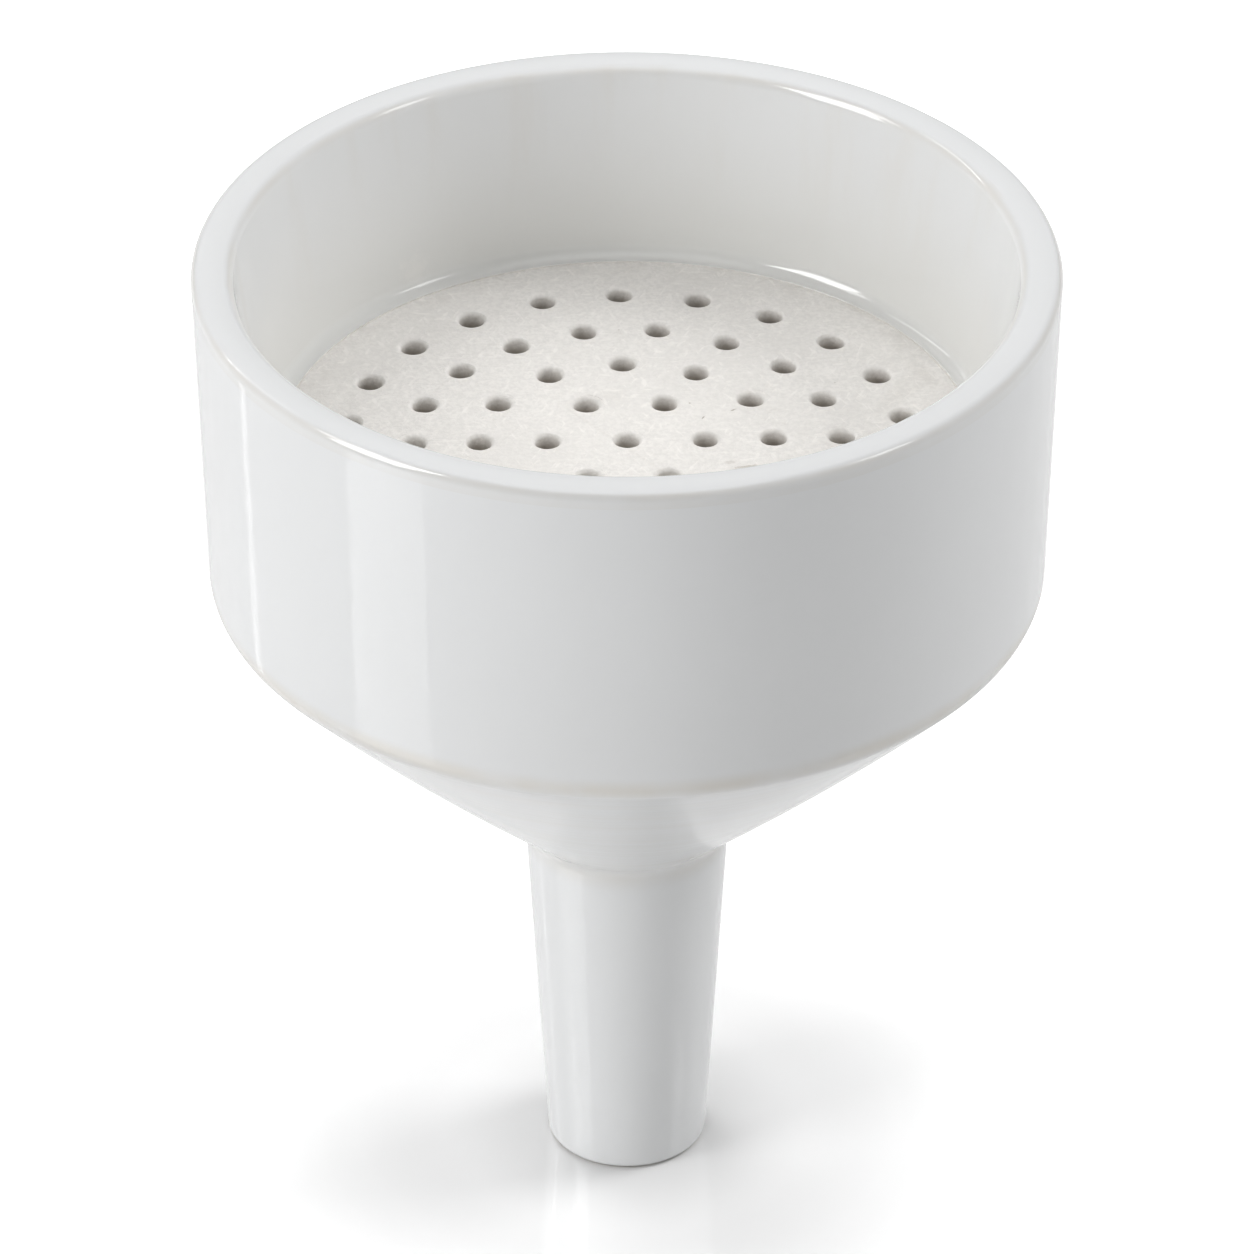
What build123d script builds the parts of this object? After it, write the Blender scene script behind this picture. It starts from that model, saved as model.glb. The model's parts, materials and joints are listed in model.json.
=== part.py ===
"""Porcelain Buchner funnel: bowl, fused perforated plate, drain chamber and hollow tapered stem.

One fired piece, so it is one sub-part. Millimetres, +Z up. The origin is the centre of the foot,
where the axis of the funnel meets the surface that it stands on.
"""

from build123d import *
from math import atan2, cos, degrees, radians, tan
import os

# Bowl: it takes a flat round filter paper 90 mm across
paper_radius = 45.0
paper_clearance = 0.4
cove_radius = 1.9
bowl_depth = 27.0
bowl_flare = 3.7
rim_width = 5.3
rim_crown = 0.56
rim_outer_round = 1.3
rim_inner_round = 1.7

# Perforated plate: one centre hole and four rings of holes with eased mouths
plate_thickness = 5.0
hole_radius = 1.5
hole_mouth_radius = 1.9
hole_mouth_angle = 82.0
first_ring_radius = 10.3
plate_margin = 8.7
ring_counts = (6, 12, 18, 22)
ring_start_angles = (1.8, 1.8, 1.8, 9.6)
hole_runout = 1.0

# Outside: a tapered stem, a slightly bowed cone, a shoulder and a nearly straight wall
stem_length = 50.8
stem_top_radius = 13.6
stem_taper = 2.95
stem_neck_round = 3.6
foot_outer_round = 1.0
cone_rise = 39.9
cone_bow = 0.6
shoulder_round = 3.5
wall_draft = 1.3

# Inside below the plate: drain chamber, then the bore of the stem
chamber_depth = 14.1
chamber_wall = 5.8
chamber_floor_round = 6.0
chamber_roof_round = 2.5
cone_wall = 4.6
bore_radius = 7.2
foot_inner_round = 0.8
bore_top_round = 3.0

# Heights, stacked from the foot up
shoulder_height = stem_length + cone_rise
chamber_roof = shoulder_height + chamber_depth
plate_top = chamber_roof + plate_thickness
overall_height = plate_top + bowl_depth
rim_edge_height = overall_height - rim_crown

# Bowl radii, from the paper outwards
flare_angle = degrees(atan2(bowl_flare, bowl_depth - rim_crown))
cove_reach = cove_radius * tan(radians(90 - flare_angle) / 2)
bowl_floor_radius = paper_radius + paper_clearance + cove_reach
rim_inner_radius = bowl_floor_radius + bowl_flare
rim_radius = rim_inner_radius + rim_width

# Outer radii below the rim
shoulder_radius = rim_radius - wall_draft
stem_end_radius = stem_top_radius - stem_taper

# The chamber floor runs parallel to the cone, one cone wall inside it
cone_run = shoulder_radius - stem_top_radius
cone_slope = atan2(cone_rise, cone_run)
cone_wall_height = cone_wall / cos(cone_slope)
chamber_radius = shoulder_radius - chamber_wall

# Holes run from the plate's top out into the chamber, and their rings are evenly spaced
plate_centre_point = (0, 0, plate_top)
hole_depth = plate_thickness + hole_runout
last_ring_radius = paper_radius + paper_clearance - plate_margin
ring_step = (last_ring_radius - first_ring_radius) / (len(ring_counts) - 1)


def chamber_floor_height(radius):
    """Height of the chamber floor at a distance from the axis."""
    return stem_length + cone_wall_height + (radius - stem_top_radius) * tan(cone_slope)


# Distance of the bowed cone's highest point from the middle of its chord, split into X and Z
bow_x = cone_bow * cone_rise / (cone_run**2 + cone_rise**2) ** 0.5
bow_z = -cone_bow * cone_run / (cone_run**2 + cone_rise**2) ** 0.5

# Corners of the half section, as radius and height, from the foot up the outside and back down inside
foot_outer = (stem_end_radius, 0)
stem_neck = (stem_top_radius, stem_length)
cone_middle = ((stem_top_radius + shoulder_radius) / 2 + bow_x, (stem_length + shoulder_height) / 2 + bow_z)
shoulder = (shoulder_radius, shoulder_height)
rim_outer = (rim_radius, rim_edge_height)
rim_top = ((rim_radius + rim_inner_radius) / 2, overall_height)
rim_inner = (rim_inner_radius, rim_edge_height)
bowl_corner = (bowl_floor_radius, plate_top)
plate_centre = (0, plate_top)
roof_centre = (0, chamber_roof)
roof_corner = (chamber_radius, chamber_roof)
chamber_corner = (chamber_radius, chamber_floor_height(chamber_radius))
bore_top = (bore_radius, chamber_floor_height(bore_radius))
foot_inner = (bore_radius, 0)

# The round that each corner takes
rounds = {
    foot_outer: foot_outer_round,
    stem_neck: stem_neck_round,
    shoulder: shoulder_round,
    rim_outer: rim_outer_round,
    rim_inner: rim_inner_round,
    bowl_corner: cove_radius,
    roof_corner: chamber_roof_round,
    chamber_corner: chamber_floor_round,
    bore_top: bore_top_round,
    foot_inner: foot_inner_round,
}

with BuildPart() as funnel:
    # Whole funnel, revolved from one half section
    with BuildSketch(Plane.XZ) as section:
        with BuildLine():
            Line(foot_outer, stem_neck)
            ThreePointArc(stem_neck, cone_middle, shoulder)
            Line(shoulder, rim_outer)
            ThreePointArc(rim_outer, rim_top, rim_inner)
            Polyline(rim_inner, bowl_corner, plate_centre, roof_centre)
            Polyline(roof_centre, roof_corner, chamber_corner, bore_top, foot_inner, foot_outer)
        make_face()
        for corner, radius in rounds.items():
            fillet(section.vertices().sort_by_distance(corner)[0], radius)
    revolve(axis=Axis.Z)

    # Holes of the plate: the centre one, then ring by ring
    with Locations(plate_centre_point):
        CounterSinkHole(hole_radius, hole_mouth_radius, hole_depth, hole_mouth_angle)
        for ring, (count, start_angle) in enumerate(zip(ring_counts, ring_start_angles)):
            with PolarLocations(first_ring_radius + ring * ring_step, count, start_angle):
                CounterSinkHole(hole_radius, hole_mouth_radius, hole_depth, hole_mouth_angle)

os.makedirs("parts", exist_ok=True)
funnel.part.label = "funnel"
export_step(funnel.part, "parts/funnel.step")
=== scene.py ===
"""Looks of a porcelain Buchner funnel, laid out as a Blender add-on and run as a script.

Metres, +Z up. The origin is the centre of the foot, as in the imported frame.
"""

import json
from math import atan2, ceil, cos, hypot, pi, radians, sin, tan
from random import Random

import bmesh
import bpy
from bpy.props import FloatProperty, FloatVectorProperty, IntProperty, IntVectorProperty, PointerProperty
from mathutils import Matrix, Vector


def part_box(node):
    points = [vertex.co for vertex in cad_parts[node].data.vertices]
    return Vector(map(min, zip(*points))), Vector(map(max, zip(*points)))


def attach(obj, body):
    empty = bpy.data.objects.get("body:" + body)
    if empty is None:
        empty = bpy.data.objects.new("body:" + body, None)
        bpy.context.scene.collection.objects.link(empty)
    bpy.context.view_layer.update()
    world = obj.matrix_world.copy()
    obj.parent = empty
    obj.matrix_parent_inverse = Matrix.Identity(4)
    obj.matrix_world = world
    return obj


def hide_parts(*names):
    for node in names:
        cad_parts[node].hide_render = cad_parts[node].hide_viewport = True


bl_info = {
    "name": "Porcelain Buchner Funnel",
    "version": (1, 0, 0),
    "blender": (4, 5, 0),
    "location": "View3D > Sidebar > Funnel",
    "description": "Models, glazes and lights a porcelain filter funnel around its packed frame",
    "category": "Add Mesh",
}

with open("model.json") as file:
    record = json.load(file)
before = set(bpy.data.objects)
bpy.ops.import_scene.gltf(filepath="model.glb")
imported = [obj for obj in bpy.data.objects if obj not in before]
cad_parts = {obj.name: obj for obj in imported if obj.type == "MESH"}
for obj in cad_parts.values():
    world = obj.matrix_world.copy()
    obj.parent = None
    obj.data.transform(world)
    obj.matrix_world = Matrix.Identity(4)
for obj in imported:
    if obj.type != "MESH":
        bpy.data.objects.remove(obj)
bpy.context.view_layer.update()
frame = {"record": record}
mounts = {mount["name"]: mount for mount in frame["record"]["mounts"]}

NODE = "funnel"
BODY = "porcelain_funnel"

# Drawing: how near two vertices become one, how near a vertex is taken for a corner, the side of the plane
# that each line starts as, and the steps of its arcs
MERGE_DISTANCE = 1e-6
FIND_DISTANCE = 1e-5
SEED_SIZE = 1e-4
ARC_STEP = radians(9)
FEWEST_ARC_STEPS = 2

# Punch: reach of its flange and height of its crumbly zone, as shares of the mouth's round, and the seed of
# the chance that puts each hole a little off
FLANGE_REACH = 1.2
CRUMBLE_REACH = 1.5
PUNCH_SEED = 7

# Lamps: azimuth and elevation in degrees, distance, width, height, radiance, then whether it lights the
# object and whether it shows in the gloss
LAMPS = {
    "left_softbox": (-65, 22, 1.2, 0.46, 1.0, 4.6, True, False),
    "left_panel": (-67, 33, 1.2, 0.46, 0.7, 11.0, False, True),
    "left_window": (-85, 42, 1.2, 0.2, 0.35, 6.0, False, True),
    "left_strip": (-122, 36, 1.2, 0.06, 0.6, 8.0, False, True),
    "front_fill": (-30, 30, 1.2, 0.6, 0.6, 0.9, True, False),
    "right_softbox": (110, 38, 1.2, 0.5, 0.5, 8.2, True, False),
    "right_window": (77, 44, 1.2, 0.25, 0.3, 6.0, False, True),
    "back_light": (-150, 45, 1.2, 0.6, 0.6, 3.8, True, False),
    "overhead": (0, 82, 1.2, 0.8, 0.8, 1.4, False, True),
}
WORLD_LIGHT = 0.43
WORLD_GLOSS = 0.1

# Share of the other colour that each tint mixes in, on the glaze and then on the plate
RIM_TINT = 0.6
NECK_TINT = 0.5
STREAK_TINT = 0.3
SMUDGE_TINT = 0.28
BRUSHED_TINT = 0.3
IRON_TINT = 0.3
BARE_FOOT_TINT = 0.6
FIBRE_TINT = 0.5
SCUFF_TINT = 0.35
BLOT_TINT = 0.2
HAIRLINE_TINT = 0.06
DUST_TINT = 0.09
SPECK_TINT = 0.55
RESIDUE_AND_SHADE_TINT = 0.8

# Shades of a colour, as shares of it
DRIFT_SHADE = 0.98
PATCH_SHADE = 0.95
GRAIN_SHADE = 0.9
PALE_SHADE = 1.08
PALE_MARK_SHADE = 1.07

# Where the glaze changes colour, as distances from the form's edges, and half widths of its bands. The bowl's
# inset is a share of the rim's width
RIM_DEPTH = 0.0025
RIM_INSET = 0.0003
OUTER_EDGE_BAND = 0.0005
INNER_EDGE_BAND = 0.0006
SHOULDER_LIFT = 0.0008
SHOULDER_BAND = 0.0022
NECK_DROP = 0.001
NECK_BAND = 0.003
BOWL_INSET = 0.8
# The painted shade inside the bowl fades out this far below the rim
BOWL_SHADE_END = 0.004
FOOT_RAGGED = 0.0003
FOOT_FADE = 0.0002

# Where the plate changes colour: the dust's start and end inwards from its edge, and down the holes the play
# of the depth of the residue and painted shade, their start and their full depth
DUST_START = 0.005
DUST_END = 0.0005
RESIDUE_AND_SHADE_RAGGED = 0.0008
RESIDUE_AND_SHADE_START = 0.0006
RESIDUE_AND_SHADE_FULL = 0.0034

# Height of each relief, on the glaze and then on the plate
WAVE_RELIEF = 0.00016
THROWING_RELIEF = 0.00002
PEEL_RELIEF = 0.000002
PIT_RELIEF = 0.00008
GRAIN_RELIEF = 0.00002
SCUFF_RELIEF = 0.00008

# Throwing lines fade in over the neck and out at the shoulder, and keep a share of their relief elsewhere
NECK_FADE = (-0.001, 0.003)
SHOULDER_FADE = (-0.002, 0.001)
THROWING_ELSEWHERE = 0.12

# Roughness that smears and dull places add to the glaze, the grain's play in the plate's, and its reflectance
SMEAR_ROUGHNESS = 0.05
DULL_ROUGHNESS = 0.6
GRAIN_ROUGHNESS = 0.08
BISQUE_SPECULAR = 0.25

# Dried splash on the inside of the bowl: place, then half length and half width
SMUDGE_PLACE = (-0.029, 0.0386, 0.1125)
SMUDGE_SIZE = (0.003, 0.0025)

# Turns of the plate's fibres, and scale, turn and shift of its two sets of hairlines
FIBRE_TURNS = (0.4, 1.5, 2.7)
HAIRLINES = ((40, 0.5, 1), (45, 2.2, 5))

# Marks on the plate: place along X and Y, half length, half width, turn, strength
BROWN_MARKS = (
    (0.0133, -0.0056, 0.0013, 0.0006, 0.2, 0.2),
    (0.0155, -0.0066, 0.0022, 0.0004, 0.25, 0.45),
    (0.0099, 0.0054, 0.00045, 0.00016, 1.2, 0.8),
    (0.0139, 0.0074, 0.0005, 0.00014, 0.6, 0.7),
    (0.0082, 0.0091, 0.00018, 0.00015, 0, 0.7),
    (-0.0011, 0.0276, 0.00022, 0.00014, 0.3, 0.5),
    (0.0392, 0.0161, 0.0045, 0.0016, 2.0, 0.1),
    (0.0318, 0.0315, 0.0055, 0.0009, 2.35, 0.1),
)
PALE_MARKS = (
    (0.0264, 0.0169, 0.0022, 0.0022, 0, 0.3),
    (-0.0378, 0.0101, 0.0045, 0.0012, 1.1, 0.35),
    (0.0334, 0.0237, 0.0040, 0.0025, 2.2, 0.2),
)

# The floor's own shine tops up what the lamps leave short of white: little near the foot, more further out
FLOOR_COLOUR = (0.8, 0.8, 0.8, 1)
FLOOR_ROUGHNESS = 0.02
FLOOR_SPECULAR = 0.8
FLOOR_GLOSS = 0.05
NEAR_SHINE = 0.16
FAR_SHINE = 0.45
SHINE_START = 0.008
SHINE_TURN = 0.026
SHINE_FULL = 0.075

# Nearest distance that the camera shows
CLIP_START = 0.01


# Settings that a user would change


class FunnelSizes(bpy.types.PropertyGroup):
    """Sizes of the funnel's half section."""

    overall_height: FloatProperty(
        name="Overall height", description="From the foot to the top of the rim",
        default=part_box(NODE)[1].z, unit="LENGTH",
    )
    rim_radius: FloatProperty(
        name="Rim radius", description="From the axis to the outside of the rim",
        default=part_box(NODE)[1].x, unit="LENGTH",
    )
    plate_top: FloatProperty(
        name="Plate height", description="Height of the perforated plate's top above the foot",
        default=mounts["filter_seat"]["pos_m"][2], unit="LENGTH",
    )
    bore_radius: FloatProperty(
        name="Bore radius", description="Radius of the bore that runs down the stem",
        default=mounts["stem_bore"]["dims"]["r_mm"] / 1000, unit="LENGTH",
    )
    rim_width: FloatProperty(
        name="Rim width", description="Thickness of the wall at the rim",
        default=0.0053, unit="LENGTH",
    )
    rim_crown: FloatProperty(
        name="Rim crown", description="How far the rim's middle stands above its edges",
        default=0.00056, unit="LENGTH",
    )
    rim_outer_round: FloatProperty(
        name="Outer rim round", description="Radius on the rim's outer edge",
        default=0.0013, unit="LENGTH",
    )
    rim_inner_round: FloatProperty(
        name="Inner rim round", description="Radius on the rim's inner edge",
        default=0.0017, unit="LENGTH",
    )
    wall_draft: FloatProperty(
        name="Wall draft", description="How much narrower the wall is at the shoulder than at the rim",
        default=0.0013, unit="LENGTH",
    )
    shoulder_height: FloatProperty(
        name="Shoulder height", description="Height of the edge between wall and cone",
        default=0.0907, unit="LENGTH",
    )
    shoulder_round: FloatProperty(
        name="Shoulder round", description="Radius between the wall and the cone",
        default=0.0035, unit="LENGTH",
    )
    cone_bow: FloatProperty(
        name="Cone bow", description="How far the cone's middle stands out of a straight line",
        default=0.0006, unit="LENGTH",
    )
    neck_height: FloatProperty(
        name="Neck height", description="Height of the edge between cone and stem",
        default=0.0508, unit="LENGTH",
    )
    neck_radius: FloatProperty(
        name="Neck radius", description="Radius of the stem where it meets the cone",
        default=0.0136, unit="LENGTH",
    )
    neck_round: FloatProperty(
        name="Neck round", description="Radius between the cone and the stem",
        default=0.0036, unit="LENGTH",
    )
    foot_radius: FloatProperty(
        name="Foot radius", description="Radius of the stem at the foot",
        default=0.01065, unit="LENGTH",
    )
    foot_outer_round: FloatProperty(
        name="Outer foot round", description="Radius on the foot's outer edge",
        default=0.001, unit="LENGTH",
    )
    bare_foot_height: FloatProperty(
        name="Bare foot height", description="Height of the foot's edge that is wiped free of glaze",
        default=0.0004, unit="LENGTH",
    )
    foot_inner_round: FloatProperty(
        name="Inner foot round", description="Radius on the edge between foot and bore",
        default=0.0008, unit="LENGTH",
    )
    plate_radius: FloatProperty(
        name="Plate radius", description="Radius of the flat unglazed plate",
        default=0.0454, unit="LENGTH",
    )
    plate_thickness: FloatProperty(
        name="Plate thickness", description="From the plate's top to the roof of the chamber",
        default=0.005, unit="LENGTH",
    )
    cove_round: FloatProperty(
        name="Cove round", description="Radius between the plate and the bowl's wall",
        default=0.0019, unit="LENGTH",
    )
    glaze_thickness: FloatProperty(
        name="Glaze thickness", description="Height of the glaze's edge around the plate",
        default=0.00014, unit="LENGTH",
    )
    groove_width: FloatProperty(
        name="Groove width", description="Width of the fine groove around the plate",
        default=0.0002, unit="LENGTH",
    )
    groove_depth: FloatProperty(
        name="Groove depth", description="Depth of the fine groove around the plate",
        default=0.00012, unit="LENGTH",
    )
    chamber_wall: FloatProperty(
        name="Chamber wall", description="Thickness of the wall around the drain chamber",
        default=0.0058, unit="LENGTH",
    )
    cone_wall: FloatProperty(
        name="Cone wall", description="Thickness of the cone under the drain chamber",
        default=0.0046, unit="LENGTH",
    )
    chamber_floor_round: FloatProperty(
        name="Chamber floor round", description="Radius at the outer edge of the chamber's floor",
        default=0.006, unit="LENGTH",
    )
    chamber_roof_round: FloatProperty(
        name="Chamber roof round", description="Radius at the outer edge of the chamber's roof",
        default=0.0025, unit="LENGTH",
    )
    bore_top_round: FloatProperty(
        name="Bore top round", description="Radius where the chamber's floor turns down into the bore",
        default=0.003, unit="LENGTH",
    )
    crown_round: FloatProperty(
        name="Crown round", description="Radius over the top of the rim",
        default=0.006, unit="LENGTH",
    )
    cone_steps: IntProperty(
        name="Steps down the cone", description="Rings of the mesh from the shoulder to the neck", default=22,
    )
    crease_angle: FloatProperty(
        name="Crease angle", description="Edges sharper than this stay crisp",
        default=radians(35), unit="ROTATION",
    )
    ring_spacing: FloatProperty(
        name="Ring spacing", description="Longest step between two rings of the mesh",
        default=0.0026, unit="LENGTH",
    )
    turn_steps: IntProperty(
        name="Steps around", description="Faces in one full turn of the funnel", default=216,
    )


class HoleSizes(bpy.types.PropertyGroup):
    """Sizes and places of the drain holes in the plate."""

    hole_radius: FloatProperty(
        name="Hole radius", description="Radius of a drain hole below its mouth",
        default=0.00165, unit="LENGTH",
    )
    mouth_round: FloatProperty(
        name="Mouth round", description="Radius on the edge of a hole's mouth",
        default=0.00065, unit="LENGTH",
    )
    first_ring_radius: FloatProperty(
        name="First ring", description="Radius of the innermost ring of holes",
        default=0.0103, unit="LENGTH",
    )
    last_ring_radius: FloatProperty(
        name="Last ring", description="Radius of the outermost ring of holes",
        default=0.0367, unit="LENGTH",
    )
    ring_counts: IntVectorProperty(
        name="Holes in each ring", description="Number of holes, from the inner ring outwards",
        size=4, default=(6, 12, 18, 22),
    )
    ring_start_angles: FloatVectorProperty(
        name="Start angles", description="Angle from +X of the first hole of each ring",
        size=4, default=(radians(1.8), radians(1.8), radians(1.8), radians(9.6)), unit="ROTATION",
    )
    place_play: FloatProperty(
        name="Place play", description="How far a hand-made hole may lie from its exact place",
        default=0.00012, unit="LENGTH",
    )
    size_play: FloatProperty(
        name="Size play", description="Share by which a hand-made hole may be wider or narrower",
        default=0.03, subtype="FACTOR",
    )
    tilt_play: FloatProperty(
        name="Tilt play", description="Angle by which a hand-made hole may lean",
        default=radians(1.5), unit="ROTATION",
    )
    mouth_lift: FloatProperty(
        name="Mouth lift", description="How far above the plate a mouth's round would end",
        default=0.00002, unit="LENGTH",
    )
    runout: FloatProperty(
        name="Runout", description="How far the punch reaches past both faces of the plate",
        default=0.0008, unit="LENGTH",
    )
    wall_spacing: FloatProperty(
        name="Wall spacing", description="Longest step between two rings down a hole",
        default=0.0012, unit="LENGTH",
    )
    turn_steps: IntProperty(
        name="Steps around", description="Faces in one full turn of a hole", default=32,
    )
    edge_play: FloatProperty(
        name="Edge play", description="Roughness of the crumbly edge of a hole's mouth",
        default=0.00003, unit="LENGTH",
    )


class GlazeLook(bpy.types.PropertyGroup):
    """Colours and gloss of the glaze and the bare porcelain."""

    glaze: FloatVectorProperty(
        name="Glaze", description="White of the glaze where it lies thick",
        size=3, default=(0.80, 0.808, 0.812), subtype="COLOR", min=0, max=1,
    )
    thin_glaze: FloatVectorProperty(
        name="Thin glaze", description="Warm tint where the glaze runs thin over an edge",
        size=3, default=(0.74, 0.72, 0.68), subtype="COLOR", min=0, max=1,
    )
    # Painted shade: this grey darkens the glaze inside the bowl towards the plate
    painted_bowl_shade: FloatVectorProperty(
        name="Painted bowl shade", description="Painted shade that darkens the glaze inside the bowl towards the plate",
        size=3, default=(0.75, 0.75, 0.73), subtype="COLOR", min=0, max=1,
    )
    bisque: FloatVectorProperty(
        name="Bisque", description="Unglazed porcelain of the plate",
        size=3, default=(0.90, 0.875, 0.84), subtype="COLOR", min=0, max=1,
    )
    # Painted shade: besides the real stains, this brown-grey darkens the walls of the holes with depth
    stain_and_shade: FloatVectorProperty(
        name="Stain and shade", description="Brown-grey of stains and specks, and of the residue and painted shade down the holes",
        size=3, default=(0.30, 0.25, 0.19), subtype="COLOR", min=0, max=1,
    )
    glaze_roughness: FloatProperty(
        name="Glaze roughness", description="Roughness of the glaze",
        default=0.05, subtype="FACTOR",
    )
    bisque_roughness: FloatProperty(
        name="Bisque roughness", description="Roughness of the unglazed plate",
        default=0.86, subtype="FACTOR",
    )
    refraction: FloatProperty(
        name="Refraction", description="Index of refraction of the glaze", default=1.5,
    )


class StudioSetup(bpy.types.PropertyGroup):
    """Camera, lamps and floor."""

    camera_elevation: FloatProperty(
        name="Camera elevation", description="Angle of the camera above the floor",
        default=radians(33.03), unit="ROTATION",
    )
    camera_distance: FloatProperty(
        name="Camera distance", description="From the camera to the point on the axis that it looks at",
        default=1.1859, unit="LENGTH",
    )
    camera_target: FloatProperty(
        name="Target height", description="Height of the point on the axis that the camera looks at",
        default=0.08076, unit="LENGTH",
    )
    lens: FloatProperty(
        name="Lens", description="Focal length of the camera in millimetres", default=258.4,
    )
    floor_size: FloatProperty(
        name="Floor size", description="Side of the square floor", default=12.0, unit="LENGTH",
    )


# Steps that several pieces share


def start_clean():
    """Leave edit mode and deselect everything, the frame's own nodes included."""
    if bpy.context.mode != "OBJECT":
        bpy.ops.object.mode_set(mode="OBJECT")
    bpy.ops.object.select_all(action="DESELECT")


def edit_only(piece):
    """Open one object in edit mode, with nothing selected in it."""
    start_clean()
    piece.select_set(True)
    bpy.context.view_layer.objects.active = piece
    bpy.ops.object.mode_set(mode="EDIT")
    bpy.ops.mesh.select_all(action="DESELECT")


def pick_vertices(piece, wanted):
    """In edit mode, select just the vertices whose place passes the test."""
    bpy.ops.mesh.select_mode(type="VERT")
    bpy.ops.mesh.select_all(action="DESELECT")
    mesh = bmesh.from_edit_mesh(piece.data)
    for vertex in mesh.verts:
        vertex.select = wanted(vertex.co)
    mesh.select_flush_mode()
    bmesh.update_edit_mesh(piece.data)


def pick_faces(piece, wanted):
    """In edit mode, select just the faces whose centre passes the test."""
    bpy.ops.mesh.select_mode(type="FACE")
    bpy.ops.mesh.select_all(action="DESELECT")
    mesh = bmesh.from_edit_mesh(piece.data)
    for face in mesh.faces:
        face.select = wanted(face.calc_center_median())
    mesh.select_flush_mode()
    bmesh.update_edit_mesh(piece.data)


def draw_line(name, points):
    """A new object in edit mode: one vertex, extruded from point to point."""
    start_clean()
    bpy.ops.mesh.primitive_plane_add(size=SEED_SIZE, location=(0, 0, 0))
    piece = bpy.context.object
    piece.name = name
    piece.data.name = name
    bpy.ops.object.mode_set(mode="EDIT")
    bpy.ops.mesh.select_all(action="SELECT")
    bpy.ops.mesh.merge(type="CENTER")
    bpy.ops.transform.translate(value=points[0])
    for start, end in zip(points, points[1:]):
        bpy.ops.mesh.extrude_vertices_move(TRANSFORM_OT_translate={"value": end - start})
    return piece


def round_corner(piece, before, corner, after, radius):
    """Round one corner of a drawn line with an arc that touches both of its lines."""
    turn = (corner - before).angle(after - corner)
    steps = max(FEWEST_ARC_STEPS, ceil(turn / ARC_STEP))
    pick_vertices(piece, lambda place: (place - corner).length < FIND_DISTANCE)
    bpy.ops.mesh.bevel(offset=radius * tan(turn / 2), segments=steps, affect="VERTICES", clamp_overlap=False)


def divide_long_edges(piece, longest):
    """Cut each edge of a drawn line into even steps no longer than the given length."""
    bpy.ops.mesh.select_mode(type="EDGE")
    mesh = bmesh.from_edit_mesh(piece.data)
    cut_counts = {ceil(edge.calc_length() / longest) - 1 for edge in mesh.edges}
    for cuts in sorted(cut_counts - {0}):
        bpy.ops.mesh.select_all(action="DESELECT")
        mesh = bmesh.from_edit_mesh(piece.data)
        for edge in mesh.edges:
            edge.select = ceil(edge.calc_length() / longest) - 1 == cuts
        mesh.select_flush_mode()
        bmesh.update_edit_mesh(piece.data)
        bpy.ops.mesh.subdivide(number_cuts=cuts)
    bpy.ops.mesh.select_mode(type="VERT")


def spin_closed(steps):
    """Turn the drawn line into a closed skin around the Z axis, facing outwards."""
    bpy.ops.mesh.select_all(action="SELECT")
    bpy.ops.mesh.spin(steps=steps, angle=2 * pi, center=(0, 0, 0), axis=(0, 0, 1))
    bpy.ops.mesh.select_all(action="SELECT")
    bpy.ops.mesh.remove_doubles(threshold=MERGE_DISTANCE)
    bpy.ops.mesh.normals_make_consistent(inside=False)


def at(radius, height):
    """A point of the half section, in the XZ plane."""
    return Vector((radius, 0, height))


# The funnel's body


def bowed_line(start, end, bow, steps):
    """Points between two corners, on a curve whose middle stands out of the straight line by the bow."""
    along = (end - start).normalized()
    outward = Vector((-along.z, 0, along.x))
    points = []
    for step in range(1, steps):
        share = step / steps
        swell = 4 * share * (1 - share)
        points.append(start.lerp(end, share) + outward * bow * swell)
    return points


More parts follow.
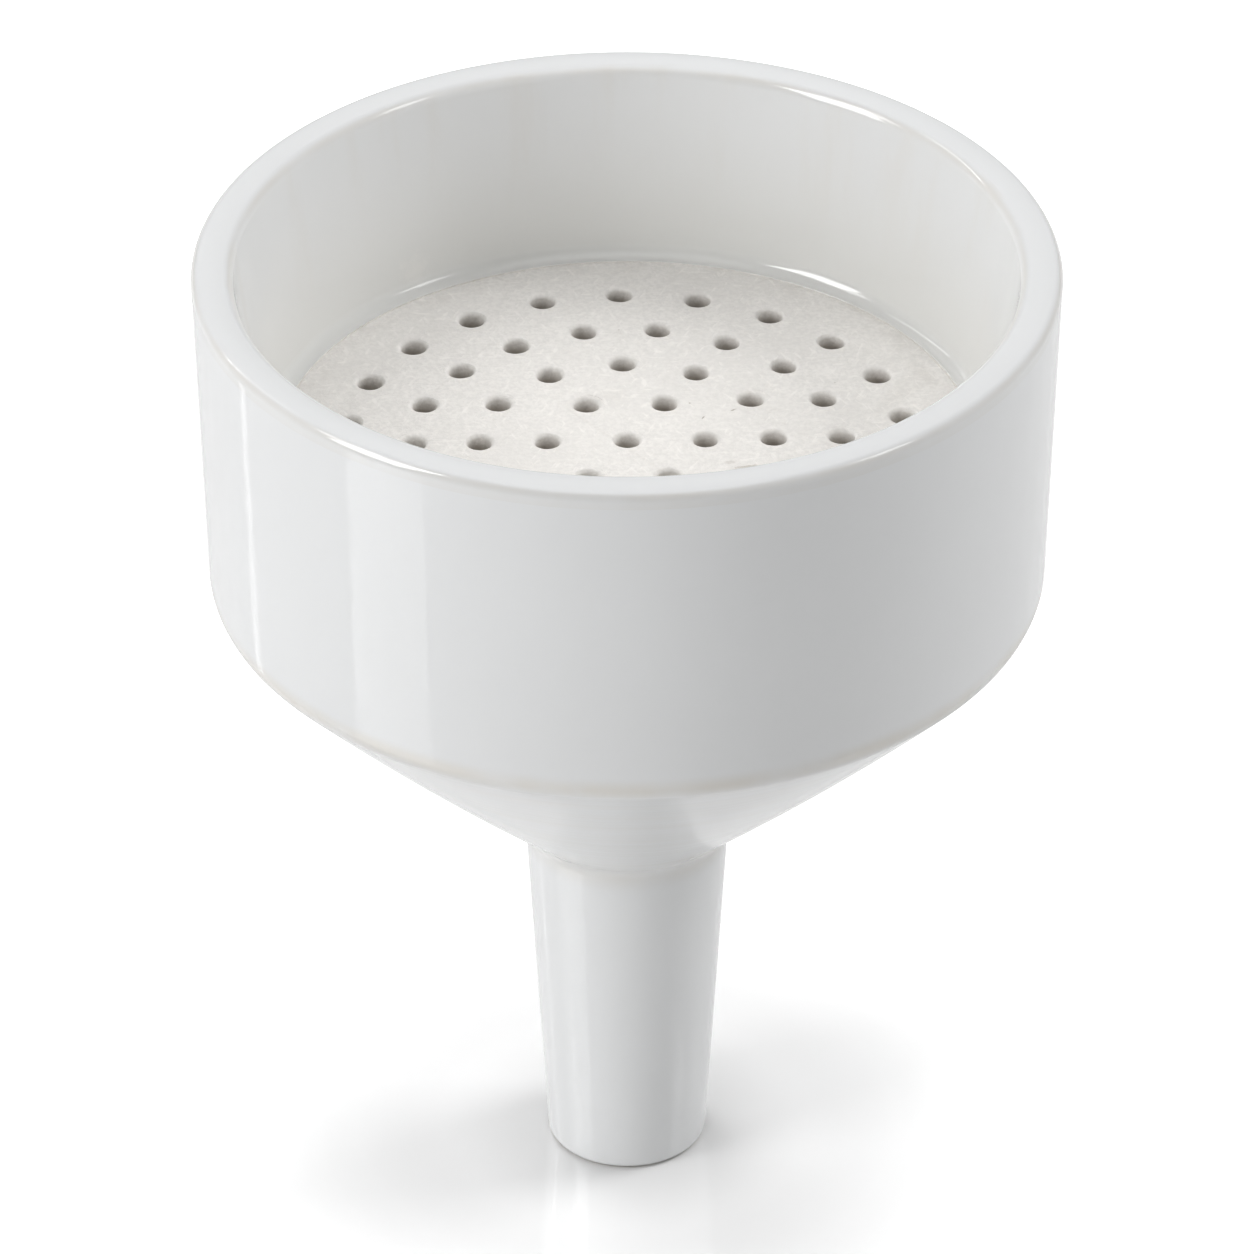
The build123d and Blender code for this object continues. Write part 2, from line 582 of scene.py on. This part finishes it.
def half_section(sizes):
    """Corners of the half section, each with the radius that rounds it.

    They run from the plate's centre up the bowl, over the rim, down the outside, over the foot, and
    back up through the bore and the drain chamber to the middle of the plate's underside.
    """
    flare = atan2(sizes.rim_radius - sizes.rim_width - sizes.plate_radius - sizes.cove_round,
                  sizes.overall_height - sizes.plate_top)
    bowl_floor_radius = sizes.plate_radius + sizes.cove_round * tan((pi / 2 - flare) / 2)
    rim_inner_radius = sizes.rim_radius - sizes.rim_width
    rim_middle_radius = sizes.rim_radius - sizes.rim_width / 2
    rim_edge = sizes.overall_height - sizes.rim_crown
    crown_slope = atan2(sizes.rim_crown, sizes.rim_width / 2)
    crown_peak = sizes.overall_height + sizes.crown_round * (1 / cos(crown_slope) - 1)
    shoulder = at(sizes.rim_radius - sizes.wall_draft, sizes.shoulder_height)
    neck = at(sizes.neck_radius, sizes.neck_height)

    # The glaze ends in a fine lip beside the plate, with a groove in front of it
    glaze_top = sizes.plate_top + sizes.glaze_thickness
    glaze_edge = sizes.plate_radius - sizes.glaze_thickness
    groove_floor = sizes.plate_top - sizes.groove_depth
    groove_start = glaze_edge - sizes.groove_width
    groove_middle = glaze_edge - sizes.groove_width / 2
    groove_round = sizes.groove_width / 3
    lip_round = sizes.glaze_thickness / 2

    # The chamber's floor runs parallel to the cone, one wall above it
    slope = atan2(shoulder.z - neck.z, shoulder.x - neck.x)
    chamber_roof = sizes.plate_top - sizes.plate_thickness
    chamber_radius = shoulder.x - sizes.chamber_wall

    def chamber_floor(radius):
        return neck.z + sizes.cone_wall / cos(slope) + (radius - neck.x) * tan(slope)

    return [
        (at(0, sizes.plate_top), 0),
        (at(groove_start, sizes.plate_top), groove_round),
        (at(groove_middle, groove_floor), 0),
        (at(glaze_edge, groove_floor), 0),
        (at(glaze_edge, glaze_top), lip_round),
        (at(bowl_floor_radius, glaze_top), sizes.cove_round),
        (at(rim_inner_radius, rim_edge), sizes.rim_inner_round),
        (at(rim_middle_radius, crown_peak), sizes.crown_round),
        (at(sizes.rim_radius, rim_edge), sizes.rim_outer_round),
        (shoulder, sizes.shoulder_round),
        *[(point, 0) for point in bowed_line(shoulder, neck, sizes.cone_bow, sizes.cone_steps)],
        (neck, sizes.neck_round),
        (at(sizes.foot_radius, 0), sizes.foot_outer_round),
        (at(sizes.bore_radius, 0), sizes.foot_inner_round),
        (at(sizes.bore_radius, chamber_floor(sizes.bore_radius)), sizes.bore_top_round),
        (at(chamber_radius, chamber_floor(chamber_radius)), sizes.chamber_floor_round),
        (at(chamber_radius, chamber_roof), sizes.chamber_roof_round),
        (at(0, chamber_roof), 0),
    ]


class FUNNEL_OT_model_body(bpy.types.Operator):
    """Draw the half section, round its corners and turn it into the funnel's closed body"""

    bl_idname = "funnel.model_body"
    bl_label = "Model the body"

    def execute(self, context):
        sizes = context.scene.funnel_sizes
        section = half_section(sizes)
        corners = [corner for corner, _ in section]
        body = draw_line(BODY, corners)
        for before, (corner, radius), after in zip(corners, section[1:-1], corners[2:]):
            if radius:
                round_corner(body, before, corner, after, radius)
        divide_long_edges(body, sizes.ring_spacing)
        spin_closed(sizes.turn_steps)
        start_clean()
        return {"FINISHED"}


# The drain holes


def hole_places(holes):
    """Centre of each drain hole: the middle one, then ring by ring."""
    places = [Vector((0, 0, 0))]
    ring_step = (holes.last_ring_radius - holes.first_ring_radius) / (len(holes.ring_counts) - 1)
    for ring, (count, start) in enumerate(zip(holes.ring_counts, holes.ring_start_angles)):
        radius = holes.first_ring_radius + ring * ring_step
        for step in range(count):
            turn = start + 2 * pi * step / count
            places.append(Vector((radius * cos(turn), radius * sin(turn), 0)))
    return places


def model_punch(sizes, holes):
    """One turned punch: the space of a hole, with its rounded mouth, reaching past both faces."""
    mouth = sizes.plate_top + holes.mouth_lift
    under = sizes.plate_top - sizes.plate_thickness - holes.runout
    over = sizes.plate_top + holes.runout
    outer = holes.hole_radius + holes.mouth_round * FLANGE_REACH
    below = at(holes.hole_radius, under)
    corner = at(holes.hole_radius, mouth)
    beside = at(outer, mouth)
    punch = draw_line("punch", [at(0, under), below, corner, beside, at(outer, over), at(0, over)])
    round_corner(punch, below, corner, beside, holes.mouth_round)
    divide_long_edges(punch, holes.wall_spacing)
    spin_closed(holes.turn_steps)
    start_clean()
    return punch


def place_punch(punch, place, sizes, holes, chance, number):
    """Copy the punch to its place, a little off in place, width and lean, with a crumbly mouth."""
    start_clean()
    punch.select_set(True)
    bpy.context.view_layer.objects.active = punch
    bpy.ops.object.duplicate(linked=False)
    copy = bpy.context.object
    bpy.ops.object.mode_set(mode="EDIT")
    crumbly = holes.mouth_round * CRUMBLE_REACH
    pick_vertices(copy, lambda point: abs(point.z - sizes.plate_top) < crumbly)
    bpy.ops.transform.vertex_random(offset=holes.edge_play, seed=number)
    bpy.ops.mesh.select_all(action="SELECT")
    width = 1 + chance.uniform(-holes.size_play, holes.size_play)
    depth = width + chance.uniform(-holes.size_play, holes.size_play)
    pivot = (0, 0, sizes.plate_top)
    bpy.ops.transform.resize(value=(width, depth, 1), center_override=pivot)
    for axis in "XY":
        lean = chance.uniform(-holes.tilt_play, holes.tilt_play)
        bpy.ops.transform.rotate(value=lean, orient_axis=axis, center_override=pivot)
    aside = chance.uniform(-holes.place_play, holes.place_play)
    ahead = chance.uniform(-holes.place_play, holes.place_play)
    bpy.ops.transform.translate(value=place + Vector((aside, ahead, 0)))
    bpy.ops.object.mode_set(mode="OBJECT")
    return copy


class FUNNEL_OT_punch_holes(bpy.types.Operator):
    """Punch the drain holes through the plate and smooth the finished skin"""

    bl_idname = "funnel.punch_holes"
    bl_label = "Punch the holes"

    def execute(self, context):
        sizes = context.scene.funnel_sizes
        holes = context.scene.funnel_holes
        chance = Random(PUNCH_SEED)
        body = bpy.data.objects[BODY]
        punch = model_punch(sizes, holes)
        copies = [
            place_punch(punch, place, sizes, holes, chance, number)
            for number, place in enumerate(hole_places(holes))
        ]
        bpy.data.objects.remove(punch)
        start_clean()
        for copy in copies:
            copy.select_set(True)
        context.view_layer.objects.active = copies[0]
        bpy.ops.object.join()
        punches = context.object

        start_clean()
        body.select_set(True)
        context.view_layer.objects.active = body
        cut = body.modifiers.new("holes", "BOOLEAN")
        cut.operation = "DIFFERENCE"
        cut.solver = "EXACT"
        cut.object = punches
        bpy.ops.object.modifier_apply(modifier=cut.name)
        bpy.data.objects.remove(punches)
        bpy.ops.object.shade_smooth_by_angle(angle=sizes.crease_angle)
        flat = body.modifiers.new("even shading", "WEIGHTED_NORMAL")
        flat.keep_sharp = True
        bpy.ops.object.modifier_apply(modifier=flat.name)
        return {"FINISHED"}


# Materials


def shade(tree, kind, settings=None, **inputs):
    """Add a shader node. Inputs are given by socket name, as a value or as the socket that feeds them."""
    made = tree.nodes.new("ShaderNode" + kind)
    for name, value in (settings or {}).items():
        setattr(made, name, value)
    for name, value in inputs.items():
        socket = made.inputs[name.replace("_", " ")]
        if isinstance(value, bpy.types.NodeSocket):
            tree.links.new(value, socket)
        else:
            socket.default_value = value
    return made


def reckon(tree, operation, *values, clamp=False):
    """Add a Math node and return its result. Each value is a number or a socket."""
    made = tree.nodes.new("ShaderNodeMath")
    made.operation = operation
    made.use_clamp = clamp
    for socket, value in zip(made.inputs, values):
        if isinstance(value, bpy.types.NodeSocket):
            tree.links.new(value, socket)
        else:
            socket.default_value = value
    return made.outputs[0]


def ramp(tree, value, start, end, low=0.0, high=1.0):
    """Map a value from start..end to low..high with soft ends."""
    made = shade(tree, "MapRange", {"interpolation_type": "SMOOTHSTEP"}, Value=value)
    for socket, number in zip(made.inputs[1:5], (start, end, low, high)):
        socket.default_value = number
    return made.outputs["Result"]


def band(tree, value, middle, half_width):
    """One at the middle, falling softly to nothing at half the width on each side."""
    distance = reckon(tree, "ABSOLUTE", reckon(tree, "SUBTRACT", value, middle))
    return ramp(tree, distance, 0, half_width, 1, 0)


def noise(tree, coordinates, scale, detail=3.0, roughness=0.5, stretch=(1, 1, 1), shift=0.0, turn=0.0):
    """Cloudy noise between about 0.2 and 0.8, as a number.

    The scale is in clouds per metre, and a stretch above 1 makes them narrower along that axis.
    """
    turned = shade(tree, "Mapping", Vector=coordinates, Rotation=(0, 0, turn))
    mapped = shade(tree, "Mapping", Vector=turned.outputs[0], Scale=stretch, Location=(shift, shift, shift))
    made = shade(tree, "TexNoise", Vector=mapped.outputs[0], Scale=scale, Detail=detail, Roughness=roughness)
    return made.outputs["Fac"]


def mix(tree, share, first, second):
    """Blend two colours by a share."""
    made = tree.nodes.new("ShaderNodeMix")
    made.data_type = "RGBA"
    for socket, value in zip((made.inputs[0], made.inputs[6], made.inputs[7]), (share, first, second)):
        if isinstance(value, bpy.types.NodeSocket):
            tree.links.new(value, socket)
        elif socket.type == "RGBA":
            socket.default_value = (*value, 1)
        else:
            socket.default_value = value
    return made.outputs[2]


def tint(colour, factor):
    """A lighter or darker copy of a colour."""
    return tuple(channel * factor for channel in colour)


def overlay(tree, colour, other, mask, strength):
    """Blend a colour towards another where the mask is 1, at the given strength."""
    return mix(tree, reckon(tree, "MULTIPLY", mask, strength), colour, other)


def specks(tree, coordinates, scale, size, share, shift=0.0):
    """Scattered specks in some cells of a cell pattern: 1 in a speck and 0 elsewhere.

    Size is the largest speck's radius, where a cell is about 1 wide, and share is how many cells have one.
    """
    mapped = shade(tree, "Mapping", Vector=coordinates, Location=(shift, shift, shift))
    cells = shade(tree, "TexVoronoi", Vector=mapped.outputs[0], Scale=scale)
    chosen = shade(tree, "SeparateColor", Color=cells.outputs["Color"])
    wanted = reckon(tree, "LESS_THAN", chosen.outputs[0], share)
    spread = reckon(tree, "MULTIPLY", chosen.outputs[1], size)
    inside = reckon(tree, "LESS_THAN", cells.outputs["Distance"], spread)
    return reckon(tree, "MULTIPLY", wanted, inside)


def blot(tree, coordinates, place, size, turn, ragged):
    """One mark with ragged soft edges: 1 in its middle and 0 outside.

    Size is its half length and half width, and ragged a noise that eats into its edge.
    """
    local = shade(
        tree, "Mapping", {"vector_type": "TEXTURE"}, Vector=coordinates, Location=place,
        Rotation=(0, 0, turn), Scale=(size[0], size[1], max(size)),
    )
    distance = shade(tree, "VectorMath", {"operation": "LENGTH"}, Vector=local.outputs[0]).outputs["Value"]
    centred = reckon(tree, "SUBTRACT", ragged, 0.5)
    uneven = reckon(tree, "ADD", distance, reckon(tree, "MULTIPLY", centred, 2))
    return ramp(tree, uneven, start=0.2, end=1.1, low=1, high=0)


def hairlines(tree, coordinates, scale, turn, shift):
    """Long thin scratches that come and go: the level lines of a stretched smooth noise."""
    field = noise(tree, coordinates, scale, detail=1, stretch=(1, 0.12, 1), shift=shift, turn=turn)
    line = band(tree, field, middle=0.5, half_width=0.006)
    patch = ramp(tree, noise(tree, coordinates, scale=60, detail=2, shift=shift + 3), 0.5, 0.6)
    return reckon(tree, "MULTIPLY", line, patch)


def new_material(name):
    """An empty node material and its Principled shader, linked to the output."""
    material = bpy.data.materials.new(name)
    material.use_nodes = True
    tree = material.node_tree
    tree.nodes.clear()
    surface = tree.nodes.new("ShaderNodeBsdfPrincipled")
    output = tree.nodes.new("ShaderNodeOutputMaterial")
    tree.links.new(surface.outputs[0], output.inputs["Surface"])
    return material, tree, surface


def add_relief(tree, surface, layers):
    """Bump the surface by several patterns on top of each other, each given with its height."""
    normal = None
    for pattern, distance in layers:
        bump = shade(tree, "Bump", Height=pattern, Strength=1.0, Distance=distance)
        if normal:
            tree.links.new(normal, bump.inputs["Normal"])
        normal = bump.outputs[0]
    tree.links.new(normal, surface.inputs["Normal"])


def place_on_funnel(tree):
    """Object coordinates, with the height and the distance from the axis as numbers of their own."""
    coordinates = shade(tree, "TexCoord").outputs["Object"]
    parts = shade(tree, "SeparateXYZ", Vector=coordinates)
    across = shade(tree, "CombineXYZ", X=parts.outputs["X"], Y=parts.outputs["Y"])
    radius = shade(tree, "VectorMath", {"operation": "LENGTH"}, Vector=across.outputs[0]).outputs["Value"]
    return coordinates, parts.outputs["Z"], radius


def make_glaze(look, sizes):
    """Clear gloss glaze: cool white, warmer where it runs thin, with faint waves and throwing lines."""
    material, tree, surface = new_material("glaze")
    coordinates, height, radius = place_on_funnel(tree)
    rim_inner_radius = sizes.rim_radius - sizes.rim_width

    # Colour: slow drift, and a warm tint where the glaze runs thin over the edges
    drift = ramp(tree, noise(tree, coordinates, scale=22, detail=2), 0.3, 0.7)
    colour = mix(tree, drift, look.glaze, tint(look.glaze, DRIFT_SHADE))
    at_rim = reckon(tree, "GREATER_THAN", height, sizes.overall_height - RIM_DEPTH)
    outer_edge = band(tree, radius, sizes.rim_radius - RIM_INSET, OUTER_EDGE_BAND)
    inner_edge = band(tree, radius, rim_inner_radius + RIM_INSET, INNER_EDGE_BAND)
    rim_edges = reckon(tree, "MULTIPLY", at_rim, reckon(tree, "MAXIMUM", outer_edge, inner_edge))
    rim_edges = reckon(tree, "MULTIPLY", rim_edges, RIM_TINT)
    shoulder = band(tree, height, sizes.shoulder_height + SHOULDER_LIFT, SHOULDER_BAND)
    neck = reckon(tree, "MULTIPLY", band(tree, height, sizes.neck_height - NECK_DROP, NECK_BAND), NECK_TINT)
    thin = reckon(tree, "MAXIMUM", rim_edges, reckon(tree, "MAXIMUM", shoulder, neck))
    uneven = ramp(tree, noise(tree, coordinates, scale=90, detail=3, shift=3), 0.25, 0.6, low=0.3, high=1)
    colour = mix(tree, reckon(tree, "MULTIPLY", thin, uneven), colour, look.thin_glaze)

    # In the bowl it runs down in faint streaks, and painted shade darkens the glaze towards the plate
    within = reckon(tree, "LESS_THAN", radius, sizes.rim_radius - sizes.rim_width * BOWL_INSET)
    over_plate = reckon(tree, "GREATER_THAN", height, sizes.plate_top)
    in_bowl = reckon(tree, "MULTIPLY", within, over_plate)
    runs = noise(tree, coordinates, scale=60, detail=4, stretch=(3, 3, 0.25), shift=7)
    streaks = reckon(tree, "MULTIPLY", ramp(tree, runs, 0.5, 0.75), in_bowl)
    colour = overlay(tree, colour, look.thin_glaze, streaks, STREAK_TINT)
    # Painted shade: the glaze inside the bowl grows darker towards the plate
    bowl_shade_mask = ramp(tree, height, sizes.plate_top, sizes.overall_height - BOWL_SHADE_END, low=1, high=0)
    colour = overlay(tree, colour, look.painted_bowl_shade, bowl_shade_mask, in_bowl)

    # A dried splash on the bowl's wall
    ragged = noise(tree, coordinates, scale=1100, detail=5, roughness=0.75, stretch=(0.6, 1, 1), shift=2)
    splash = blot(tree, coordinates, SMUDGE_PLACE, SMUDGE_SIZE, 0, ragged)
    smudge = reckon(tree, "MULTIPLY", splash, SMUDGE_TINT)
    colour = mix(tree, smudge, colour, look.bisque)

    # Brushed streaks around the cone, and a few iron specks
    cone_foot, cone_start = (sizes.neck_height + offset for offset in NECK_FADE)
    cone_end, cone_top = (sizes.shoulder_height + offset for offset in SHOULDER_FADE)
    over_neck = ramp(tree, height, cone_foot, cone_start)
    under_wall = ramp(tree, height, cone_end, cone_top, low=1, high=0)
    on_cone = reckon(tree, "MULTIPLY", over_neck, under_wall)
    brushed = noise(tree, coordinates, scale=20, detail=5, roughness=0.7, stretch=(0.9, 0.9, 24), shift=9)
    brushed = reckon(tree, "MULTIPLY", ramp(tree, brushed, 0.4, 0.65), on_cone)
    colour = overlay(tree, colour, look.thin_glaze, brushed, BRUSHED_TINT)
    iron = specks(tree, coordinates, scale=130, size=0.03, share=0.06)
    colour = overlay(tree, colour, look.stain_and_shade, iron, IRON_TINT)

    # The foot is wiped bare, and its edge is brownish
    ragged_foot = reckon(tree, "MULTIPLY", noise(tree, coordinates, scale=300), FOOT_RAGGED)
    wiped = reckon(tree, "ADD", height, ragged_foot)
    bare = ramp(tree, wiped, sizes.bare_foot_height, sizes.bare_foot_height + FOOT_FADE, low=1, high=0)
    colour = overlay(tree, colour, look.stain_and_shade, bare, BARE_FOOT_TINT)
    tree.links.new(colour, surface.inputs["Base Color"])

    # Gloss: smears soften it a little, and bare or smudged places are dull
    smears = noise(tree, coordinates, scale=45, detail=4, roughness=0.65, shift=11)
    smeared = ramp(tree, smears, 0.35, 0.75, low=0, high=SMEAR_ROUGHNESS)
    gloss = reckon(tree, "ADD", look.glaze_roughness, smeared)
    dull = reckon(tree, "MULTIPLY", reckon(tree, "MAXIMUM", bare, smudge), DULL_ROUGHNESS)
    gloss = reckon(tree, "ADD", gloss, dull, clamp=True)
    tree.links.new(gloss, surface.inputs["Roughness"])
    surface.inputs["IOR"].default_value = look.refraction

    # Relief: slow waves, throwing lines that are clear on the cone and faint elsewhere, a slight orange peel
    waves = noise(tree, coordinates, scale=30, detail=1, shift=5)
    lines = noise(tree, coordinates, scale=12, detail=4, roughness=0.7, stretch=(0.3, 0.3, 40), shift=9)
    lines = reckon(tree, "MULTIPLY", lines, reckon(tree, "MAXIMUM", on_cone, THROWING_ELSEWHERE))
    peel = noise(tree, coordinates, scale=700, detail=1)
    add_relief(tree, surface, ((waves, WAVE_RELIEF), (lines, THROWING_RELIEF), (peel, PEEL_RELIEF)))
    return material


def make_bisque(look, sizes):
    """Unglazed porcelain: warm off-white with grain, specks and faint stains, with brown-grey residue and
    painted shade down the holes.
    """
    material, tree, surface = new_material("bisque")
    coordinates, height, radius = place_on_funnel(tree)
    pale = tint(look.bisque, PALE_SHADE)

    # Colour: patches, grain, pale fibres in three directions, pale scuffs and faint blots
    patches = ramp(tree, noise(tree, coordinates, scale=70, detail=5, roughness=0.6), 0.35, 0.7)
    colour = mix(tree, patches, look.bisque, tint(look.bisque, PATCH_SHADE))
    grain = ramp(tree, noise(tree, coordinates, scale=1500, detail=4, roughness=0.75), 0.35, 0.65)
    colour = mix(tree, grain, tint(look.bisque, GRAIN_SHADE), colour)
    for turn in FIBRE_TURNS:
        fibres = noise(tree, coordinates, scale=1500, detail=2, stretch=(1, 0.25, 1), shift=turn, turn=turn)
        colour = mix(tree, ramp(tree, fibres, 0.62, 0.72, low=0, high=FIBRE_TINT), colour, pale)
    scuffs = noise(tree, coordinates, scale=90, detail=5, roughness=0.7, stretch=(1, 6, 1), shift=2)
    colour = mix(tree, ramp(tree, scuffs, 0.6, 0.75, low=0, high=SCUFF_TINT), colour, pale)
    blots = ramp(tree, noise(tree, coordinates, scale=160, detail=6, roughness=0.7, shift=4), 0.62, 0.8)
    colour = overlay(tree, colour, look.stain_and_shade, blots, BLOT_TINT)

    # Marks: hairlines, a dusty edge, pale and brown marks, specks
    ragged = noise(tree, coordinates, scale=1600, detail=4, roughness=0.65, shift=8)
    for scale, turn, shift in HAIRLINES:
        scratches = hairlines(tree, coordinates, scale, turn, shift)
        colour = overlay(tree, colour, look.stain_and_shade, scratches, HAIRLINE_TINT)
    edge = ramp(tree, radius, sizes.plate_radius - DUST_START, sizes.plate_radius - DUST_END)
    dust = ramp(tree, noise(tree, coordinates, scale=240, detail=5, roughness=0.7, shift=6), 0.45, 0.65)
    colour = overlay(tree, colour, look.stain_and_shade, reckon(tree, "MULTIPLY", edge, dust), DUST_TINT)
    lighter = tint(look.bisque, PALE_MARK_SHADE)
    for marks, mark_colour in ((PALE_MARKS, lighter), (BROWN_MARKS, look.stain_and_shade)):
        for x, y, length, width, turn, strength in marks:
            mark = blot(tree, coordinates, (x, y, sizes.plate_top), (length, width), turn, ragged)
            colour = overlay(tree, colour, mark_colour, mark, strength)
    fine = specks(tree, coordinates, scale=330, size=0.06, share=0.1)
    broad = specks(tree, coordinates, scale=120, size=0.035, share=0.1, shift=1)
    colour = overlay(tree, colour, look.stain_and_shade, reckon(tree, "MAXIMUM", fine, broad), SPECK_TINT)

    # Residue and painted shade darken the walls of the holes with depth
    depth = reckon(tree, "SUBTRACT", sizes.plate_top, height)
    depth = reckon(tree, "ADD", depth, reckon(tree, "MULTIPLY", ragged, RESIDUE_AND_SHADE_RAGGED))
    # Painted shade: partly real residue, partly shade painted down the holes
    residue_and_shade = ramp(tree, depth, RESIDUE_AND_SHADE_START, RESIDUE_AND_SHADE_FULL, low=0, high=RESIDUE_AND_SHADE_TINT)
    colour = mix(tree, residue_and_shade, colour, look.stain_and_shade)
    tree.links.new(colour, surface.inputs["Base Color"])

    # Dull, with a relief of pits, grain and scuffs
    smooth = look.bisque_roughness - GRAIN_ROUGHNESS
    rough = look.bisque_roughness + GRAIN_ROUGHNESS
    tree.links.new(ramp(tree, grain, 0, 1, low=smooth, high=rough), surface.inputs["Roughness"])
    surface.inputs["Specular IOR Level"].default_value = BISQUE_SPECULAR

    pits = noise(tree, coordinates, scale=420, detail=4, roughness=0.65, shift=6)
    add_relief(tree, surface, ((pits, PIT_RELIEF), (grain, GRAIN_RELIEF), (scuffs, SCUFF_RELIEF)))
    return material


class FUNNEL_OT_glaze(bpy.types.Operator):
    """Glaze the funnel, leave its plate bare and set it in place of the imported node"""

    bl_idname = "funnel.glaze"
    bl_label = "Glaze the funnel"

    def execute(self, context):
        sizes = context.scene.funnel_sizes
        look = context.scene.funnel_look
        body = bpy.data.objects[BODY]
        for material in (make_glaze(look, sizes), make_bisque(look, sizes)):
            body.data.materials.append(material)
        lowest = sizes.plate_top - sizes.plate_thickness - MERGE_DISTANCE
        highest = sizes.plate_top + MERGE_DISTANCE
        widest = sizes.plate_radius - sizes.glaze_thickness - MERGE_DISTANCE
        edit_only(body)
        pick_faces(body, lambda place: lowest < place.z < highest and hypot(place.x, place.y) < widest)
        body.active_material_index = body.data.materials.find("bisque")
        bpy.ops.object.material_slot_assign()
        start_clean()
        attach(body, "root")
        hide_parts(NODE)
        return {"FINISHED"}


# The stage


def make_floor_material():
    """White floor that keeps the object's shadow: it shines only for the camera and in reflections."""
    material, tree, surface = new_material("floor")
    coordinates = shade(tree, "TexCoord").outputs["Object"]
    reach = shade(tree, "VectorMath", {"operation": "LENGTH"}, Vector=coordinates).outputs["Value"]
    surface.inputs["Base Color"].default_value = FLOOR_COLOUR
    surface.inputs["Roughness"].default_value = FLOOR_ROUGHNESS
    surface.inputs["Specular IOR Level"].default_value = FLOOR_SPECULAR
    near = ramp(tree, reach, SHINE_START, SHINE_TURN, low=0, high=NEAR_SHINE)
    far = ramp(tree, reach, SHINE_TURN, SHINE_FULL, low=0, high=FAR_SHINE)
    path = shade(tree, "LightPath")
    seen = reckon(tree, "MULTIPLY", path.outputs["Is Camera Ray"], reckon(tree, "ADD", near, far))
    mirrored = reckon(tree, "MULTIPLY", path.outputs["Is Glossy Ray"], FLOOR_GLOSS)
    glow = shade(tree, "Emission", Strength=reckon(tree, "ADD", seen, mirrored))
    both = shade(tree, "AddShader")
    tree.links.new(surface.outputs[0], both.inputs[0])
    tree.links.new(glow.outputs[0], both.inputs[1])
    tree.links.new(both.outputs[0], tree.nodes["Material Output"].inputs["Surface"])
    return material


def add_lamp(name, azimuth, elevation, distance, width, height, radiance, target, lights, shows):
    """An area lamp that faces the target. Azimuth 0 is the camera's side, and goes on to the right."""
    bpy.ops.object.light_add(type="AREA")
    lamp = bpy.context.object
    lamp.name = name
    lamp.data.shape = "RECTANGLE"
    lamp.data.size = width
    lamp.data.size_y = height
    lamp.data.energy = radiance * pi * width * height
    direction = Vector((sin(azimuth) * cos(elevation), -cos(azimuth) * cos(elevation), sin(elevation)))
    lamp.location = target + direction * distance
    lamp.rotation_euler = direction.to_track_quat("Z", "Y").to_euler()
    lamp.visible_camera = False
    lamp.visible_diffuse = lights
    lamp.visible_glossy = shows


class FUNNEL_OT_set_stage(bpy.types.Operator):
    """Add the floor, the lamps, the white surroundings and the camera"""

    bl_idname = "funnel.set_stage"
    bl_label = "Set the stage"

    def execute(self, context):
        studio = context.scene.funnel_studio
        start_clean()
        bpy.ops.mesh.primitive_plane_add(size=studio.floor_size)
        floor = context.object
        floor.name = "floor"
        floor.data.materials.append(make_floor_material())

        target = Vector((0, 0, studio.camera_target))
        for name, (azimuth, elevation, *form, lights, shows) in LAMPS.items():
            add_lamp(name, radians(azimuth), radians(elevation), *form, target, lights, shows)

        # The surroundings light the object softly, look dim in its gloss and are white to the camera
        world = bpy.data.worlds.new("surroundings")
        context.scene.world = world
        world.use_nodes = True
        tree = world.node_tree
        path = shade(tree, "LightPath")
        background = tree.nodes["Background"]
        background.inputs["Color"].default_value = (1, 1, 1, 1)
        dimmed = reckon(tree, "MULTIPLY", path.outputs["Is Glossy Ray"], WORLD_LIGHT - WORLD_GLOSS)
        light = reckon(tree, "SUBTRACT", WORLD_LIGHT, dimmed)
        level = reckon(tree, "MAXIMUM", light, path.outputs["Is Camera Ray"])
        tree.links.new(level, background.inputs["Strength"])

        elevation = studio.camera_elevation
        away = Vector((0, -cos(elevation), sin(elevation)))
        bpy.ops.object.camera_add(location=target + away * studio.camera_distance)
        camera = context.object
        camera.name = "camera"
        camera.rotation_euler = away.to_track_quat("Z", "Y").to_euler()
        camera.data.lens = studio.lens
        camera.data.clip_start = CLIP_START
        context.scene.camera = camera
        context.scene.view_settings.view_transform = "Standard"
        return {"FINISHED"}


# Sidebar


class FUNNEL_PT_sidebar(bpy.types.Panel):
    """Settings and steps of the funnel"""

    bl_idname = "FUNNEL_PT_sidebar"
    bl_label = "Buchner funnel"
    bl_space_type = "VIEW_3D"
    bl_region_type = "UI"
    bl_category = "Funnel"

    def draw(self, context):
        for name, (_, operator) in STEPS.items():
            box = self.layout.box()
            settings = getattr(context.scene, name)
            for setting in settings.__annotations__:
                box.prop(settings, setting)
            box.operator(operator.bl_idname)


# Each group of settings, with the step that uses it
STEPS = {
    "funnel_sizes": (FunnelSizes, FUNNEL_OT_model_body),
    "funnel_holes": (HoleSizes, FUNNEL_OT_punch_holes),
    "funnel_look": (GlazeLook, FUNNEL_OT_glaze),
    "funnel_studio": (StudioSetup, FUNNEL_OT_set_stage),
}


def register():
    for name, (group, operator) in STEPS.items():
        bpy.utils.register_class(group)
        setattr(bpy.types.Scene, name, PointerProperty(type=group))
        bpy.utils.register_class(operator)
    bpy.utils.register_class(FUNNEL_PT_sidebar)


def unregister():
    bpy.utils.unregister_class(FUNNEL_PT_sidebar)
    for name, (group, operator) in reversed(STEPS.items()):
        bpy.utils.unregister_class(operator)
        delattr(bpy.types.Scene, name)
        bpy.utils.unregister_class(group)


def main():
    register()
    bpy.ops.funnel.model_body()
    bpy.ops.funnel.punch_holes()
    bpy.ops.funnel.glaze()
    bpy.ops.funnel.set_stage()


if __name__ == "__main__":
    main()
